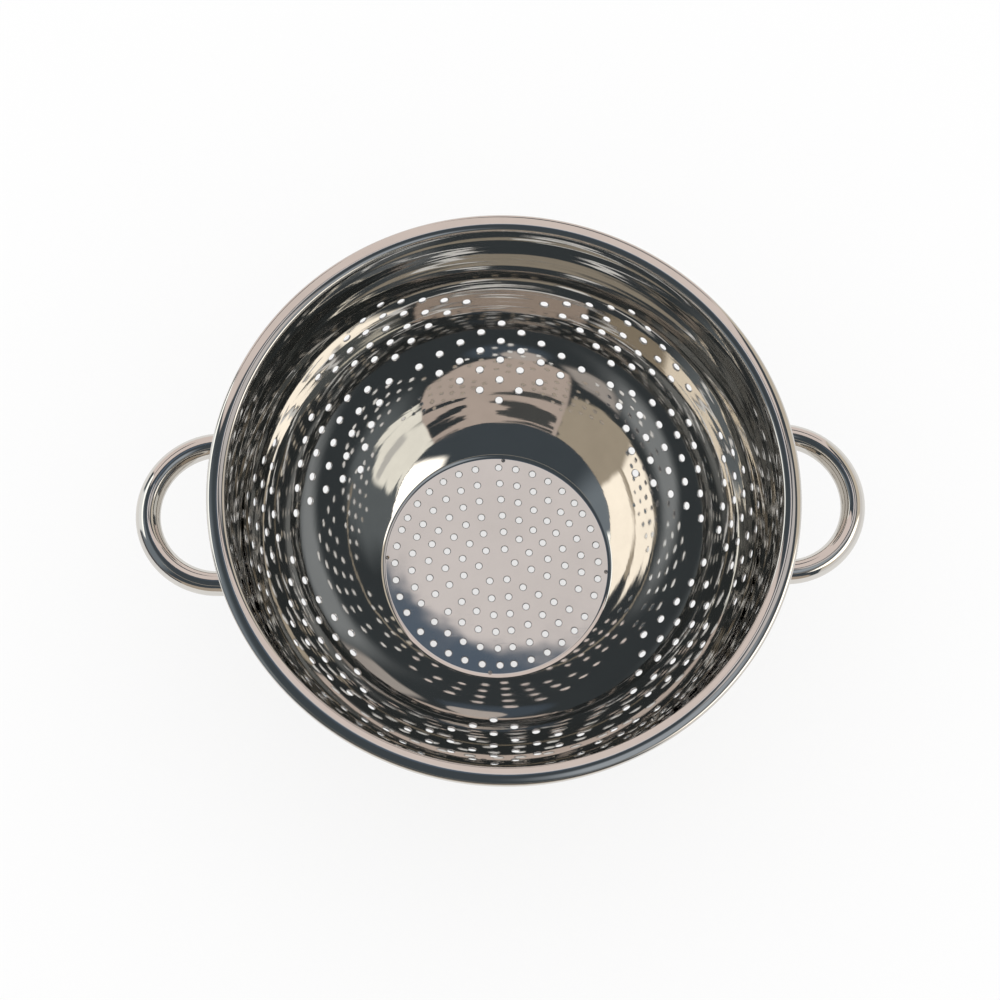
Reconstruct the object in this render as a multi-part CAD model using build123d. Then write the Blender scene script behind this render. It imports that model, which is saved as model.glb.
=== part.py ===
from build123d import *
import math
import os

# A deep stainless steel colander: one drawn and perforated bowl with a rolled rim,
# two bent tube handles welded under the rim, and a foot ring spot-welded to the base.
# Millimetres, +Z up. The origin is the middle of the foot's flat underside,
# and the two handles lie along X.

# Bowl
rim_diameter = 280.0
bowl_depth = 149.2
base_diameter = 124.4
wall_lean_degrees = 4.5
sheet = 0.8

# Neck, where the wall ends and the rolled rim begins
neck_inset = 8.7
neck_drop = 4.2

# Rolled rim: insets from its outer edge, drops from its top
rim_step_inset = 7.0
rim_step_drop = 3.0
rim_crest_inset = 4.8
rim_shoulder_drop = 2.6
rim_edge_drop = 5.6
rim_lip_inset = 2.0
rim_lip_drop = 6.8

# Wall perforation. Six diamond groups stand high on the wall and six stand low, between them.
# A group's shares of the wall's length are the place of its middle up the wall, half the
# spacing of its rows, how far a row rises towards its ends, and how that grows downwards.
# Its steps are half the spacing of the holes along a row, in degrees around the bowl,
# and how that grows downwards.
wall_hole_diameter = 4.0
group_side_holes = 5
group_count = 6
high_group_shares = (0.5918, 0.03465, 0.00067, 0.00024)
high_group_steps = (5.20, 0.068)
low_group_shares = (0.3446, 0.03743, 0.00190, 0.00010)
low_group_steps = (6.01, 0.207)
wall_pattern_turn = -1.7

# Base perforation: six sectors, each with one hole on the first arc and six on the last.
# The sectors lean towards each other in pairs. The shares of the base's radius are
# the first arc's radius, the step to the next arc, and the spacing of holes along an arc.
base_hole_diameter = 3.4
base_sectors = 6
base_arcs = 6
base_arc_shares = (0.159, 0.148, 0.155)
base_pattern_turn = 4.1
sector_lean = 1.4

# Handles
handle_reach = 38.5
handle_bend_radius = 35.0
handle_drop = 38.0
tube_diameter = 12.0
tube_wall = 1.0

# Handle welds
weld_width = 2.2
weld_height = 2.4

# Foot ring
foot_height = 12.0
foot_sheet = 0.8
foot_flange_inset = 0.4
foot_flange_width = 3.1
foot_flare = 4.2
foot_hem = 3.5

# Spot welds of the foot, seen inside the bowl
spot_count = 4
spot_diameter = 2.2
spot_height = 0.3
spot_inset = 1.0
spot_pattern_turn = -5.0

# The round forms are drawn with flat sides, to keep the model light.
# A hole's flat sides enclose the same area as the round hole.
facet_count = 48
wall_bands = 5
hole_sides = 4
tube_sides = 10
bend_steps = 10
spot_sides = 8

# Clearances
weld_seat = 0.3
cut_overrun = 3.0


def polar(radius, angle):
    """The (radius, height) point of the wall's section at an angle above level."""
    return (radius * math.cos(angle), centre_height + radius * math.sin(angle))


rim_radius = rim_diameter / 2
base_radius = base_diameter / 2
base_top = foot_height + sheet
rim_top = base_top + bowl_depth

# Below the neck the wall runs straight, leaning out, and then curves in to the base
# as part of a sphere that it is tangent to, whose centre lies on the bowl's axis.
neck_radius = rim_radius - neck_inset
neck_height = rim_top - neck_drop
wall_top_angle = -math.radians(wall_lean_degrees)
lean_cosine = math.cos(wall_top_angle)
lean_sine = -math.sin(wall_top_angle)
wall_offset = neck_radius * lean_cosine - (neck_height - base_top) * lean_sine
wall_root = math.sqrt(wall_offset**2 - lean_cosine**2 * (wall_offset**2 + (base_radius * lean_sine) ** 2))
wall_radius = (wall_offset + wall_root) / lean_cosine**2
centre_height = base_top + math.sqrt(wall_radius**2 - base_radius**2)
base_edge_angle = -math.acos(base_radius / wall_radius)
curve_length = wall_radius * (wall_top_angle - base_edge_angle)
wall_length = curve_length + math.dist(polar(wall_radius, wall_top_angle), (neck_radius, neck_height))


def flat_sided(section):
    """The round form of a half section, drawn in flat facets that touch it midway."""
    half_facet = math.pi / facet_count
    reach = rim_diameter
    half_width = reach * math.tan(half_facet)
    slab = extrude(Plane.XZ * section, half_width, both=True)
    wedge_outline = Polyline((0, 0), (reach, -half_width), (reach, half_width), close=True)
    facet = slab & extrude(make_face(wedge_outline), reach)
    turned = [Rotation(0, 0, wall_pattern_turn + 360 * step / facet_count) * facet for step in range(facet_count)]
    return turned[0].fuse(*turned[1:]).clean()


def sheet_section(points, thickness):
    """The half section of a bent sheet: a line through the points, thickened on its right."""
    return make_face(Polyline(*points).wire().offset_2d(thickness, kind=Kind.INTERSECTION, side=Side.RIGHT))


def wall_points(radius):
    """Points up the wall's curve, from the edge of the base to where the wall runs straight."""
    shares = [band / wall_bands for band in range(wall_bands + 1)]
    return [polar(radius, base_edge_angle + share * (wall_top_angle - base_edge_angle)) for share in shares]


def bowl_section():
    """The bowl's sheet: flat base, wall in straight bands, neck, rolled rim."""
    points = [(0, base_top)] + wall_points(wall_radius)
    points.append((neck_radius, neck_height))
    points.append((rim_radius - rim_step_inset, rim_top - rim_step_drop))
    points.append((rim_radius - rim_crest_inset, rim_top))
    points.append((rim_radius, rim_top - rim_shoulder_drop))
    points.append((rim_radius, rim_top - rim_edge_drop))
    points.append((rim_radius - rim_lip_inset, rim_top - rim_lip_drop))
    return sheet_section(points, sheet)


def hole_cutter(place, outward, diameter, depth):
    """A flat-sided punch of a round hole's area, run right through the sheet."""
    corner_radius = diameter / 2 * math.sqrt(math.tau / hole_sides / math.sin(math.tau / hole_sides))
    across = Vector(0, 0, 1).cross(outward) if abs(outward.Z) < 1 else Vector(1, 0, 0)
    face = Plane(origin=place, x_dir=across, z_dir=outward) * RegularPolygon(corner_radius, hole_sides)
    return extrude(face, depth, both=True)


def wall_group(shares, steps, turn):
    """The punches of one diamond group, whose rows bend upwards as they do on a drawn wall."""
    middle, rise, bend, bend_growth = [share * wall_length for share in shares]
    punches = []
    for row in range(group_side_holes):
        for column in range(group_side_holes):
            down = row + column - group_side_holes + 1
            across = row - column
            climb = middle - down * rise + (bend + down * bend_growth) * across**2
            bearing = math.radians(turn + across * (steps[0] + down * steps[1]))
            angle = base_edge_angle + climb / wall_radius
            level = math.cos(angle)
            outward = Vector(level * math.cos(bearing), level * math.sin(bearing), math.sin(angle))
            place = Vector(0, 0, centre_height) + outward * wall_radius
            punches.append(hole_cutter(place, outward, wall_hole_diameter, cut_overrun))
    return punches


def wall_punches():
    """Twelve groups: a high and a low one in turn around the wall."""
    punches = []
    step = 360 / group_count
    for group in range(group_count):
        turn = group * step + wall_pattern_turn
        punches += wall_group(high_group_shares, high_group_steps, turn)
        punches += wall_group(low_group_shares, low_group_steps, turn + step / 2)
    return punches


def base_punches():
    """The base's holes: arcs of equal pitch in six sectors."""
    first_radius, step, spacing = [share * base_radius for share in base_arc_shares]
    punches = []
    for sector in range(base_sectors):
        lean = sector_lean if sector % 2 == 0 else -sector_lean
        middle = math.radians(sector * 360 / base_sectors + base_pattern_turn + lean)
        for arc in range(base_arcs):
            radius = first_radius + arc * step
            for hole in range(arc + 1):
                bearing = middle + (hole - arc / 2) * spacing / radius
                place = Vector(radius * math.cos(bearing), radius * math.sin(bearing), base_top)
                punches.append(hole_cutter(place, Vector(0, 0, 1), base_hole_diameter, cut_overrun))
    return punches


def make_bowl():
    """The drawn bowl with its rolled rim and every drain hole."""
    return flat_sided(bowl_section()).cut(*wall_punches(), *base_punches())


def wall_outside(clearance):
    """A solid plug of the wall's outside, grown by a clearance, to cope what meets the wall."""
    grown = sheet + clearance
    outline = wall_points(wall_radius + grown)
    outline.append((neck_radius + grown, neck_height))
    outline = [(0, outline[0][1])] + outline + [(0, neck_height)]
    return flat_sided(make_face(Polyline(*outline, close=True)))


handle_height = rim_top - handle_drop
bend_centre = rim_radius + handle_reach - tube_diameter / 2 - handle_bend_radius


def handle_rod(diameter):
    """A flat-sided U-shaped rod on the handle's centre line, its legs running into the bowl."""
    path_points = [(neck_radius / 2, -handle_bend_radius)]
    for step in range(bend_steps + 1):
        bearing = math.radians(180 * step / bend_steps - 90)
        across = handle_bend_radius * math.cos(bearing)
        path_points.append((bend_centre + across, handle_bend_radius * math.sin(bearing)))
    path_points.append((neck_radius / 2, handle_bend_radius))
    path = Plane.XY.offset(handle_height) * Polyline(*path_points)
    outline = RegularPolygon(diameter / 2, tube_sides, major_radius=False, rotation=180 / tube_sides)
    section = Plane(origin=path @ 0, x_dir=(0, 1, 0), z_dir=(1, 0, 0)) * outline
    return sweep(section, path=path, transition=Transition.RIGHT)


def make_handle():
    """The right handle: a bent tube whose ends are coped to the bowl's wall."""
    tube = handle_rod(tube_diameter) - handle_rod(tube_diameter - 2 * tube_wall)
    return tube - wall_outside(weld_seat)


def make_handle_welds():
    """The two welds of the right handle, around its ends and along the wall."""
    bead = handle_rod(tube_diameter + 2 * weld_width) - handle_rod(tube_diameter)
    return (bead & wall_outside(weld_height)) - wall_outside(weld_seat)


def make_foot_ring():
    """A flared band with a flange under the base and a hem turned in to stand on."""
    flange_radius = base_radius - foot_flange_inset
    foot_radius = flange_radius + foot_flare
    points = [
        (flange_radius - foot_flange_width, foot_height),
        (flange_radius, foot_height),
        (foot_radius, 0),
        (foot_radius - foot_hem, 0),
    ]
    return flat_sided(sheet_section(points, foot_sheet))


def make_foot_spot_welds():
    """The low nuggets that the spot welds leave on the base, above the foot's flange."""
    radius = base_radius - spot_inset - spot_diameter / 2
    nuggets = []
    for spot in range(spot_count):
        bearing = math.radians(spot * 360 / spot_count + spot_pattern_turn)
        place = (radius * math.cos(bearing), radius * math.sin(bearing), base_top)
        nuggets.append(extrude(Plane(origin=place) * RegularPolygon(spot_diameter / 2, spot_sides), spot_height))
    return Compound(children=nuggets)


right_handle = make_handle()
right_welds = make_handle_welds()
half_turn = Rotation(0, 0, 180)

parts = {
    "bowl": make_bowl(),
    "right_handle": right_handle,
    "left_handle": half_turn * right_handle,
    "right_handle_welds": right_welds,
    "left_handle_welds": half_turn * right_welds,
    "foot_ring": make_foot_ring(),
    "foot_spot_welds": make_foot_spot_welds(),
}

os.makedirs("parts", exist_ok=True)
for name, solid in parts.items():
    export_step(solid, f"parts/{name}.step")
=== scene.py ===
import bmesh
import bpy
import math
import numpy as np
from bpy.props import FloatProperty, FloatVectorProperty, IntProperty, PointerProperty
from mathutils import Matrix, Vector


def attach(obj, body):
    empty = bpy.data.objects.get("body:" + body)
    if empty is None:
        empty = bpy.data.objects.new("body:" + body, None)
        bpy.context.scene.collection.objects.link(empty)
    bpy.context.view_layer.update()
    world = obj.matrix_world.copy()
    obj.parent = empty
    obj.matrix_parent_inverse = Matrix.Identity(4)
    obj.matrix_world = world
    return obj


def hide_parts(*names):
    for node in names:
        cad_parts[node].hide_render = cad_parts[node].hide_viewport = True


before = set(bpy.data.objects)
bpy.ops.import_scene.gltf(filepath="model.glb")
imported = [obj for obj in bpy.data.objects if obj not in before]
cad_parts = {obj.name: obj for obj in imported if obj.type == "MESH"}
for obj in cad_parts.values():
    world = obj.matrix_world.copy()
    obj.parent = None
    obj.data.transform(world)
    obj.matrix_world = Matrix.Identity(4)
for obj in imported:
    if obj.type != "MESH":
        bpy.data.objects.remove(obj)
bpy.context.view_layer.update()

bl_info = {
    "name": "Steel colander",
    "version": (1, 0, 0),
    "blender": (4, 5, 0),
    "location": "3D View > Sidebar > Colander",
    "description": "Builds a polished steel colander with tube handles, its foot ring and a studio stage",
    "category": "Object",
}


# Sizes and colours


def length(name, description, default):
    """A size in metres that a user can change."""
    return FloatProperty(name=name, description=description, default=default, unit="LENGTH", precision=5)


def angle(name, description, degrees):
    """An angle, given in degrees, that a user can change."""
    radians = math.radians(degrees)
    return FloatProperty(name=name, description=description, default=radians, unit="ROTATION", precision=5)


def colour(name, description, default):
    """A linear colour that a user can change."""
    return FloatVectorProperty(name=name, description=description, default=default, subtype="COLOR", max=4.0)


class ColanderBowlSizes(bpy.types.PropertyGroup):
    rim_diameter: length("Rim diameter", "Outside diameter of the rolled rim", 0.280)
    depth: length("Depth", "Inside depth from the rim's top to the base", 0.1492)
    base_diameter: length("Base diameter", "Diameter of the flat base inside", 0.1244)
    base_height: length("Base height", "Height of the base's upper face over the ground", 0.0128)
    sheet: length("Sheet", "Thickness of the sheet", 0.0008)
    wall_lean: angle("Wall lean", "Lean of the straight upper wall", 4.5)
    neck_inset: length("Neck inset", "From the rim's outer edge in to the neck", 0.0087)
    neck_drop: length("Neck drop", "From the rim's top down to the neck", 0.0042)
    base_corner: length("Base corner radius", "Radius of the corner between base and wall", 0.0065)
    segments: IntProperty(name="Segments", description="Steps around the bowl", default=200, min=3)


class ColanderHoleSizes(bpy.types.PropertyGroup):
    wall_hole: length("Wall hole", "Diameter of the wall's holes", 0.0040)
    base_hole: length("Base hole", "Diameter of the base's holes", 0.0034)
    wall_rounding: length("Wall holes' rounding", "Rounding of a wall hole's edge inside the bowl", 0.00033)
    base_rounding: length("Base holes' rounding", "Rounding of a base hole's edge inside the bowl", 0.00042)
    high_middle: length("High groups' middle", "From the base's edge up the wall to a high group's middle", 0.10031)
    high_rise: length("High groups' rise", "Half the spacing of a high group's holes up the wall", 0.005873)
    high_bend: length("High groups' bend", "How far a row climbs towards its ends", 0.000114)
    high_bend_growth: length("High groups' bend growth", "What each row down adds to the bend", 0.00004)
    high_step: angle("High groups' step", "Half the spacing of holes along a row, around the bowl", 5.198)
    high_step_growth: angle("High groups' step growth", "What each row down adds to the step", 0.0684)
    low_middle: length("Low groups' middle", "From the base's edge up the wall to a low group's middle", 0.05840)
    low_rise: length("Low groups' rise", "Half the spacing of a low group's holes up the wall", 0.006344)
    low_bend: length("Low groups' bend", "How far a row climbs towards its ends", 0.000322)
    low_bend_growth: length("Low groups' bend growth", "What each row down adds to the bend", 0.0000168)
    low_step: angle("Low groups' step", "Half the spacing of holes along a row, around the bowl", 6.013)
    low_step_growth: angle("Low groups' step growth", "What each row down adds to the step", 0.2065)
    first_arc: length("First arc", "Radius of the base's innermost arc of holes", 0.0099)
    arc_step: length("Arc step", "From one arc of the base to the next", 0.0092)
    arc_spacing: length("Arc spacing", "Spacing of holes along an arc", 0.00965)


class ColanderHandleSizes(bpy.types.PropertyGroup):
    tube: length("Tube", "Diameter of the handles' tube", 0.012)
    bend: length("Bend", "Radius of the bend at the tube's middle", 0.035)
    reach: length("Reach", "From the rim out to the handle's end", 0.0385)
    drop: length("Drop", "From the rim's top down to the tube's middle", 0.038)
    bead: length("Weld bead", "Width of the weld around a tube's end", 0.0020)


class ColanderFootSizes(bpy.types.PropertyGroup):
    height: length("Height", "Height of the foot", 0.012)
    sheet: length("Sheet", "Thickness of the foot's sheet", 0.0008)
    flange_inset: length("Flange inset", "From the base's edge in to the flange's edge", 0.0004)
    flange_width: length("Flange width", "Width of the flange under the base", 0.0031)
    flare: length("Flare", "How far the foot flares out below", 0.0042)
    hem: length("Hem", "Width of the turned-in hem", 0.0035)
    corner: length("Corner", "Radius of the foot's corners", 0.0012)
    spot: length("Spot weld", "Diameter of a spot weld", 0.0022)
    spot_height: length("Spot weld height", "Height of a spot weld over the base", 0.00025)


class ColanderLook(bpy.types.PropertyGroup):
    steel: colour("Steel", "Polished steel", (0.665, 0.64, 0.60))
    edge_steel: colour("Cut steel", "Sheared steel in the holes", (0.60, 0.60, 0.60))
    weld_steel: colour("Weld steel", "Steel of the weld beads", (0.47, 0.46, 0.45))
    weld_tint: colour("Weld tint", "Heat tint beside a weld", (0.50, 0.36, 0.20))
    floor: colour("Floor", "The floor's colour", (0.95, 0.95, 0.95))


# Steps of the round forms, and the share of the straight wall that is drawn before the rim's own line
BASE_STEPS = 10
CORNER_STEPS = 8
WALL_STEPS = 62
STRAIGHT_STEPS = 18
STRAIGHT_SHARE = 0.97
RIM_STEPS = 2
BEND_STEPS = 40
TUBE_SIDES = 40
BEAD_STEPS = 144
FOOT_SEGMENTS = 240
SPOT_SIDES = 32

# A punch: its sides, its length, and its shoulder's steps out and up, in roundings
PUNCH_SIDES = 16
PUNCH_LENGTH = 0.0022
PUNCH_SHOULDER = ((3.2, -1.3), (1.0, 0.0), (0.3, 0.45), (0.0, 1.3))

# How far each group of wall holes is punched off its regular place, how far the patterns are turned, and how
# far the base's sectors lean towards each other, in degrees
HIGH_GROUP_SLIPS = (2.65, -1.6, -1.0, 0.0, 0.0, 0.0)
LOW_GROUP_SLIPS = (2.5, 0.0, -2.3, -0.7, -1.0, 1.6)
HIGH_GROUP_TURN = -1.4
LOW_GROUP_TURN = 28.0
BASE_TURN = 4.1
BASE_LEAN = 1.4

# How many sectors and arcs of holes the base has, how many high or low groups the wall, and the side of a group
BASE_SECTORS = 6
BASE_ARCS = 6
WALL_GROUPS = 6
GROUP_SIDE = 5

# The foot's spot welds: their bearings in degrees, how far in from the base's edge they stand,
# and a nugget's section as shares of its radius and height
SPOT_BEARINGS = (-5.0, 85.0, 175.0, 265.0)
SPOT_INSET = 0.001
SPOT_SECTION = ((1.0, 0.0), (0.92, 0.55), (0.75, 0.95), (0.55, 1.0), (0.3, 0.55), (0.12, 0.42))

# Gaps and overlaps of the pieces that meet the wall, in metres, and the ripples of the weld beads
TUBE_GAP = 0.0001
BEAD_GAP = 0.00005
BEAD_LAP = 0.0001
BEAD_DEPTH = 0.0004
RIPPLE_HEIGHT = 0.00022
RIPPLES = 24


# Mesh tools


def corner_arc(before, corner, after, radius, steps):
    """The points of an arc that rounds a corner of an outline."""
    into = (before - corner).normalized()
    out = (after - corner).normalized()
    half = into.angle(out) / 2
    reach = min(radius / math.tan(half), 0.48 * (before - corner).length, 0.48 * (after - corner).length)
    radius = reach * math.tan(half)
    centre = corner + (into + out).normalized() * radius / math.sin(half)
    start = corner + into * reach - centre
    end = corner + out * reach - centre
    sweep = start.angle(end)
    points = []
    for step in range(steps + 1):
        share = step / steps
        near, far = math.sin((1 - share) * sweep), math.sin(share * sweep)
        points.append(centre + (start * near + end * far) / math.sin(sweep))
    return points


def rounded(points, radius, steps):
    """An open outline with an arc at each corner between its ends."""
    line = [points[0]]
    for before, corner, after in zip(points, points[1:], points[2:]):
        line += corner_arc(before, corner, after, radius, steps)
    return line + [points[-1]]


def smooth_line(points, steps):
    """A smooth line through the points, with a number of steps from each to the next."""
    line = []
    for index in range(len(points) - 1):
        before = points[max(index - 1, 0)]
        start, end = points[index], points[index + 1]
        after = points[min(index + 2, len(points) - 1)]
        for step in range(steps):
            share = step / steps
            leave = (end - before) * 0.5
            arrive = (after - start) * 0.5
            line.append(start * (2 * share**3 - 3 * share**2 + 1) + leave * (share**3 - 2 * share**2 + share)
                        + end * (3 * share**2 - 2 * share**3) + arrive * (share**3 - share**2))
    return line + [points[-1].copy()]


def line_normals(points):
    """Unit normals on the left of an open line of points."""
    normals = []
    for index in range(len(points)):
        along = points[min(index + 1, len(points) - 1)] - points[max(index - 1, 0)]
        normals.append(Vector((-along.y, along.x, 0)).normalized())
    return normals


def strip_faces(rings, sides, start=0, closed=False):
    """Four-sided faces from each ring of vertices to the next, and from the last to the first where closed."""
    faces = []
    for ring in range(rings if closed else rings - 1):
        near = start + ring * sides
        far = start + (ring + 1) % rings * sides
        for side in range(sides):
            beside = (side + 1) % sides
            faces.append((near + side, near + beside, far + beside, far + side))
    return faces


def end_caps(rings, sides, start=0):
    """The faces that close the first and the last ring."""
    last = start + (rings - 1) * sides
    return [tuple(range(start, start + sides))[::-1], tuple(range(last, last + sides))]


def revolve(rings, segments, closed=True):
    """A surface of revolution about Z from a line, or a closed loop, of (radius, height) points."""
    turns = [math.tau * step / segments for step in range(segments)]
    vertices = []
    for radius, height in rings:
        vertices += [(radius * math.cos(turn), radius * math.sin(turn), height) for turn in turns]
    return vertices, strip_faces(len(rings), segments, closed=closed)


def new_piece(name, vertices, faces, materials):
    """A mesh object at the origin, smooth, welded and facing outwards."""
    mesh = bpy.data.meshes.new(name)
    mesh.from_pydata(vertices, [], faces)
    tidy = bmesh.new()
    tidy.from_mesh(mesh)
    bmesh.ops.remove_doubles(tidy, verts=tidy.verts, dist=1e-6)
    bmesh.ops.recalc_face_normals(tidy, faces=tidy.faces)
    for face in tidy.faces:
        face.smooth = True
    tidy.to_mesh(mesh)
    tidy.free()
    for material in materials:
        mesh.materials.append(material)
    piece = bpy.data.objects.new(name, mesh)
    bpy.context.collection.objects.link(piece)
    return piece


def finish_piece(piece, slot, *nodes):
    """Ties a piece to the frame."""
    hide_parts(*nodes)
    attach(piece, "root")


# Node tools


class Nodes:
    """Adds nodes to a tree, links their inputs and returns their outputs."""

    def __init__(self, tree):
        self.tree = tree

    def add(self, kind, inputs=None, output=0, **settings):
        node = self.tree.nodes.new(kind)
        for key, value in settings.items():
            setattr(node, key, value)
        for key, value in (inputs or {}).items():
            socket = node.inputs[key]
            values = value if isinstance(value, list) else [value]
            for one in values:
                if isinstance(one, bpy.types.NodeSocket):
                    self.tree.links.new(one, socket)
                else:
                    socket.default_value = one
        return node.outputs[output] if node.outputs else node

    def math(self, operation, first, second=0.0, third=0.0):
        kind = "ShaderNodeMath"
        return self.add(kind, {0: first, 1: second, 2: third}, operation=operation)

    def plus(self, first, second):
        return self.math("ADD", first, second)

    def minus(self, first, second):
        return self.math("SUBTRACT", first, second)

    def times(self, first, second):
        return self.math("MULTIPLY", first, second)

    def vector_math(self, operation, inputs):
        return self.add("ShaderNodeVectorMath", inputs, operation=operation)

    def dot(self, first, second):
        return self.add("ShaderNodeVectorMath", {0: first, 1: tuple(second)}, "Value", operation="DOT_PRODUCT")

    def smooth_step(self, value, low, high, start=0.0, end=1.0):
        inputs = {"Value": value, "From Min": low, "From Max": high, "To Min": start, "To Max": end}
        return self.add("ShaderNodeMapRange", inputs, interpolation_type="SMOOTHSTEP")

    def mix(self, share, first, second, kind="MIX"):
        inputs = {0: share, 6: first, 7: second}
        return self.add("ShaderNodeMix", inputs, 2, data_type="RGBA", blend_type=kind)

    def noise(self, vector, scale, detail=2.0, roughness=0.5):
        inputs = {"Vector": vector, "Scale": scale, "Detail": detail, "Roughness": roughness}
        return self.add("ShaderNodeTexNoise", inputs)

    def seen(self):
        """1 where the camera, a mirror or glass looks, and 0 for soft light."""
        ray = self.tree.nodes.new("ShaderNodeLightPath").outputs
        mirrored = self.math("MAXIMUM", ray["Is Glossy Ray"], ray["Is Transmission Ray"])
        return self.math("MAXIMUM", ray["Is Camera Ray"], mirrored)


def new_material(name):
    """An empty node material with its output, and the tools to fill it."""
    material = bpy.data.materials.new(name)
    material.use_nodes = True
    material.node_tree.nodes.clear()
    return material, Nodes(material.node_tree)


def end_material(nodes, shader):
    nodes.add("ShaderNodeOutputMaterial", {"Surface": shader})


def rgba(colour_value):
    return (*colour_value, 1.0)


# The rings that drawing and spinning leave in the upper wall: slope in degrees, wavelength and start angle.
# The long ones are in the wall's form, and the fine one is in its finish. They grow from a length up the
# wall to another, and fade out over the last lengths below the neck.
LONG_RINGS = ((1.67, 0.02995, 3.258), (0.41, 0.01365, 3.434))
FINE_RING = (0.35, 0.00526, 0.228)
RINGS_START = (0.080, 0.105)
LONG_RINGS_END = (0.008, 0.001)
FINE_RING_END = 0.003


def wall_rings(nodes, place):
    """The height of the wall's fine rings, in metres, along the wall's line from the base's edge."""
    form = bowl_form()
    height = nodes.add("ShaderNodeSeparateXYZ", {0: place}).node.outputs[2]
    share = nodes.math("DIVIDE", nodes.minus(height, form.centre_height), form.wall_radius)
    angle_up = nodes.math("ARCSINE", nodes.math("MAXIMUM", nodes.math("MINIMUM", share, -math.sin(form.lean)), -1.0))
    curved = nodes.times(nodes.minus(angle_up, form.base_edge_angle), form.wall_radius)
    straight = nodes.math("MAXIMUM", nodes.minus(height, form.wall_point(-form.lean)[1]), 0.0)
    along = nodes.math("MULTIPLY_ADD", straight, 1 / math.cos(form.lean), curved)
    slope, wave, start = FINE_RING
    turn = nodes.math("MULTIPLY_ADD", along, math.tau / wave, start)
    lift = nodes.times(nodes.math("COSINE", turn), math.radians(slope) * wave / math.tau)
    grown = nodes.smooth_step(along, *RINGS_START)
    below_rim = nodes.smooth_step(height, form.neck_height - FINE_RING_END, form.neck_height, 1.0, 0.0)
    return nodes.times(nodes.times(lift, grown), below_rim)


def end_steel(nodes, tone, rough, height, strength=1.0, distance=1.0):
    """Ends a steel finish with its colour, roughness and relief."""
    bump = nodes.add("ShaderNodeBump", {"Strength": strength, "Distance": distance, "Height": height})
    inputs = {"Base Color": tone, "Metallic": 1.0, "Roughness": rough, "Normal": bump}
    end_material(nodes, nodes.add("ShaderNodeBsdfPrincipled", inputs))


# The polished steel's noises, in turns to a metre, and the waves' height in metres. The polishing lines lie
# round the bowl's axis, and the hairlines along a slanted one.
POLISH_STRETCH = (14.0, 14.0, 420.0)
HAIR_STRETCH = (60.0, 900.0, 900.0)
HAIR_TURN = (0.2, 0.3, 0.7)
WAVE_SCALE = 62.0
WAVE_HEIGHT = 0.00003
HAZE_SCALE = 38.0


def polished_steel(name, colour_value, polish_height, roughness, rings=None):
    """Mirror steel with faint waves, haze and hairlines. The polishing lines' height is in metres."""
    material, nodes = new_material(name)
    place = nodes.add("ShaderNodeTexCoord", output=3)
    stretched = nodes.add("ShaderNodeMapping", {"Vector": place, "Scale": POLISH_STRETCH})
    polish_noise = nodes.noise(stretched, 1.0, 3.0, 0.6)
    wave_noise = nodes.noise(place, WAVE_SCALE, 1.0, 0.4)
    hair = nodes.add("ShaderNodeMapping", {"Vector": place, "Scale": HAIR_STRETCH, "Rotation": HAIR_TURN})
    hair_noise = nodes.noise(hair, 1.0, 2.0, 0.7)
    haze_noise = nodes.noise(place, HAZE_SCALE, 4.0, 0.6)
    haze = nodes.smooth_step(haze_noise, 0.35, 0.75, roughness, roughness * 1.9)
    scratch = nodes.smooth_step(hair_noise, 0.62, 0.72, 0.0, roughness * 0.8)
    dull = rgba([channel * 0.94 for channel in colour_value])
    tone = nodes.mix(nodes.smooth_step(haze_noise, 0.3, 0.8), rgba(colour_value), dull)
    height = nodes.math("MULTIPLY_ADD", wave_noise, WAVE_HEIGHT, nodes.times(polish_noise, polish_height))
    if rings:
        height = nodes.plus(height, rings(nodes, place))
    end_steel(nodes, tone, nodes.plus(haze, scratch), height)
    return material


def cut_steel(colour_value):
    """The sheared wall of a punched hole: torn and matt, its tone varied by a fine grain."""
    material, nodes = new_material("cut steel")
    grain = nodes.noise(nodes.add("ShaderNodeTexCoord", output=3), 2600.0, 3.0, 0.7)
    tone = nodes.mix(grain, rgba([channel * 0.75 for channel in colour_value]), rgba(colour_value))
    end_steel(nodes, tone, nodes.smooth_step(grain, 0.3, 0.7, 0.16, 0.34), grain, 0.4, 0.00003)
    return material


def weld_steel(colour_value, tint):
    """Weld metal: satin, with a heat tint in patches."""
    material, nodes = new_material("weld steel")
    place = nodes.add("ShaderNodeTexCoord", output=3)
    patches = nodes.noise(place, 420.0, 3.0, 0.6)
    grain = nodes.noise(place, 3800.0, 2.0, 0.6)
    tone = nodes.mix(nodes.smooth_step(patches, 0.5, 0.72), rgba(colour_value), rgba(tint))
    end_steel(nodes, tone, nodes.smooth_step(grain, 0.3, 0.7, 0.22, 0.42), grain, 0.5, 0.00004)
    return material


def look():
    return bpy.context.scene.colander_look


def material(name):
    """A finish of this object, made once and used by every piece that has it."""
    made = bpy.data.materials.get(name)
    if made:
        return made
    finishes = {
        "bowl steel": lambda: polished_steel(name, look().steel, 0.000008, 0.025, wall_rings),
        "handle steel": lambda: polished_steel(name, look().steel, 0.000004, 0.03),
        "foot steel": lambda: polished_steel(name, look().steel, 0.00001, 0.06),
        "cut steel": lambda: cut_steel(look().edge_steel),
        "weld steel": lambda: weld_steel(look().weld_steel, look().weld_tint),
    }
    return finishes[name]()


# The bowl's form


def fade(value, low, high):
    """A smooth change from 0 at the low end to 1 at the high end."""
    share = min(max((value - low) / (high - low), 0.0), 1.0)
    return share * share * (3 - 2 * share)


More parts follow.
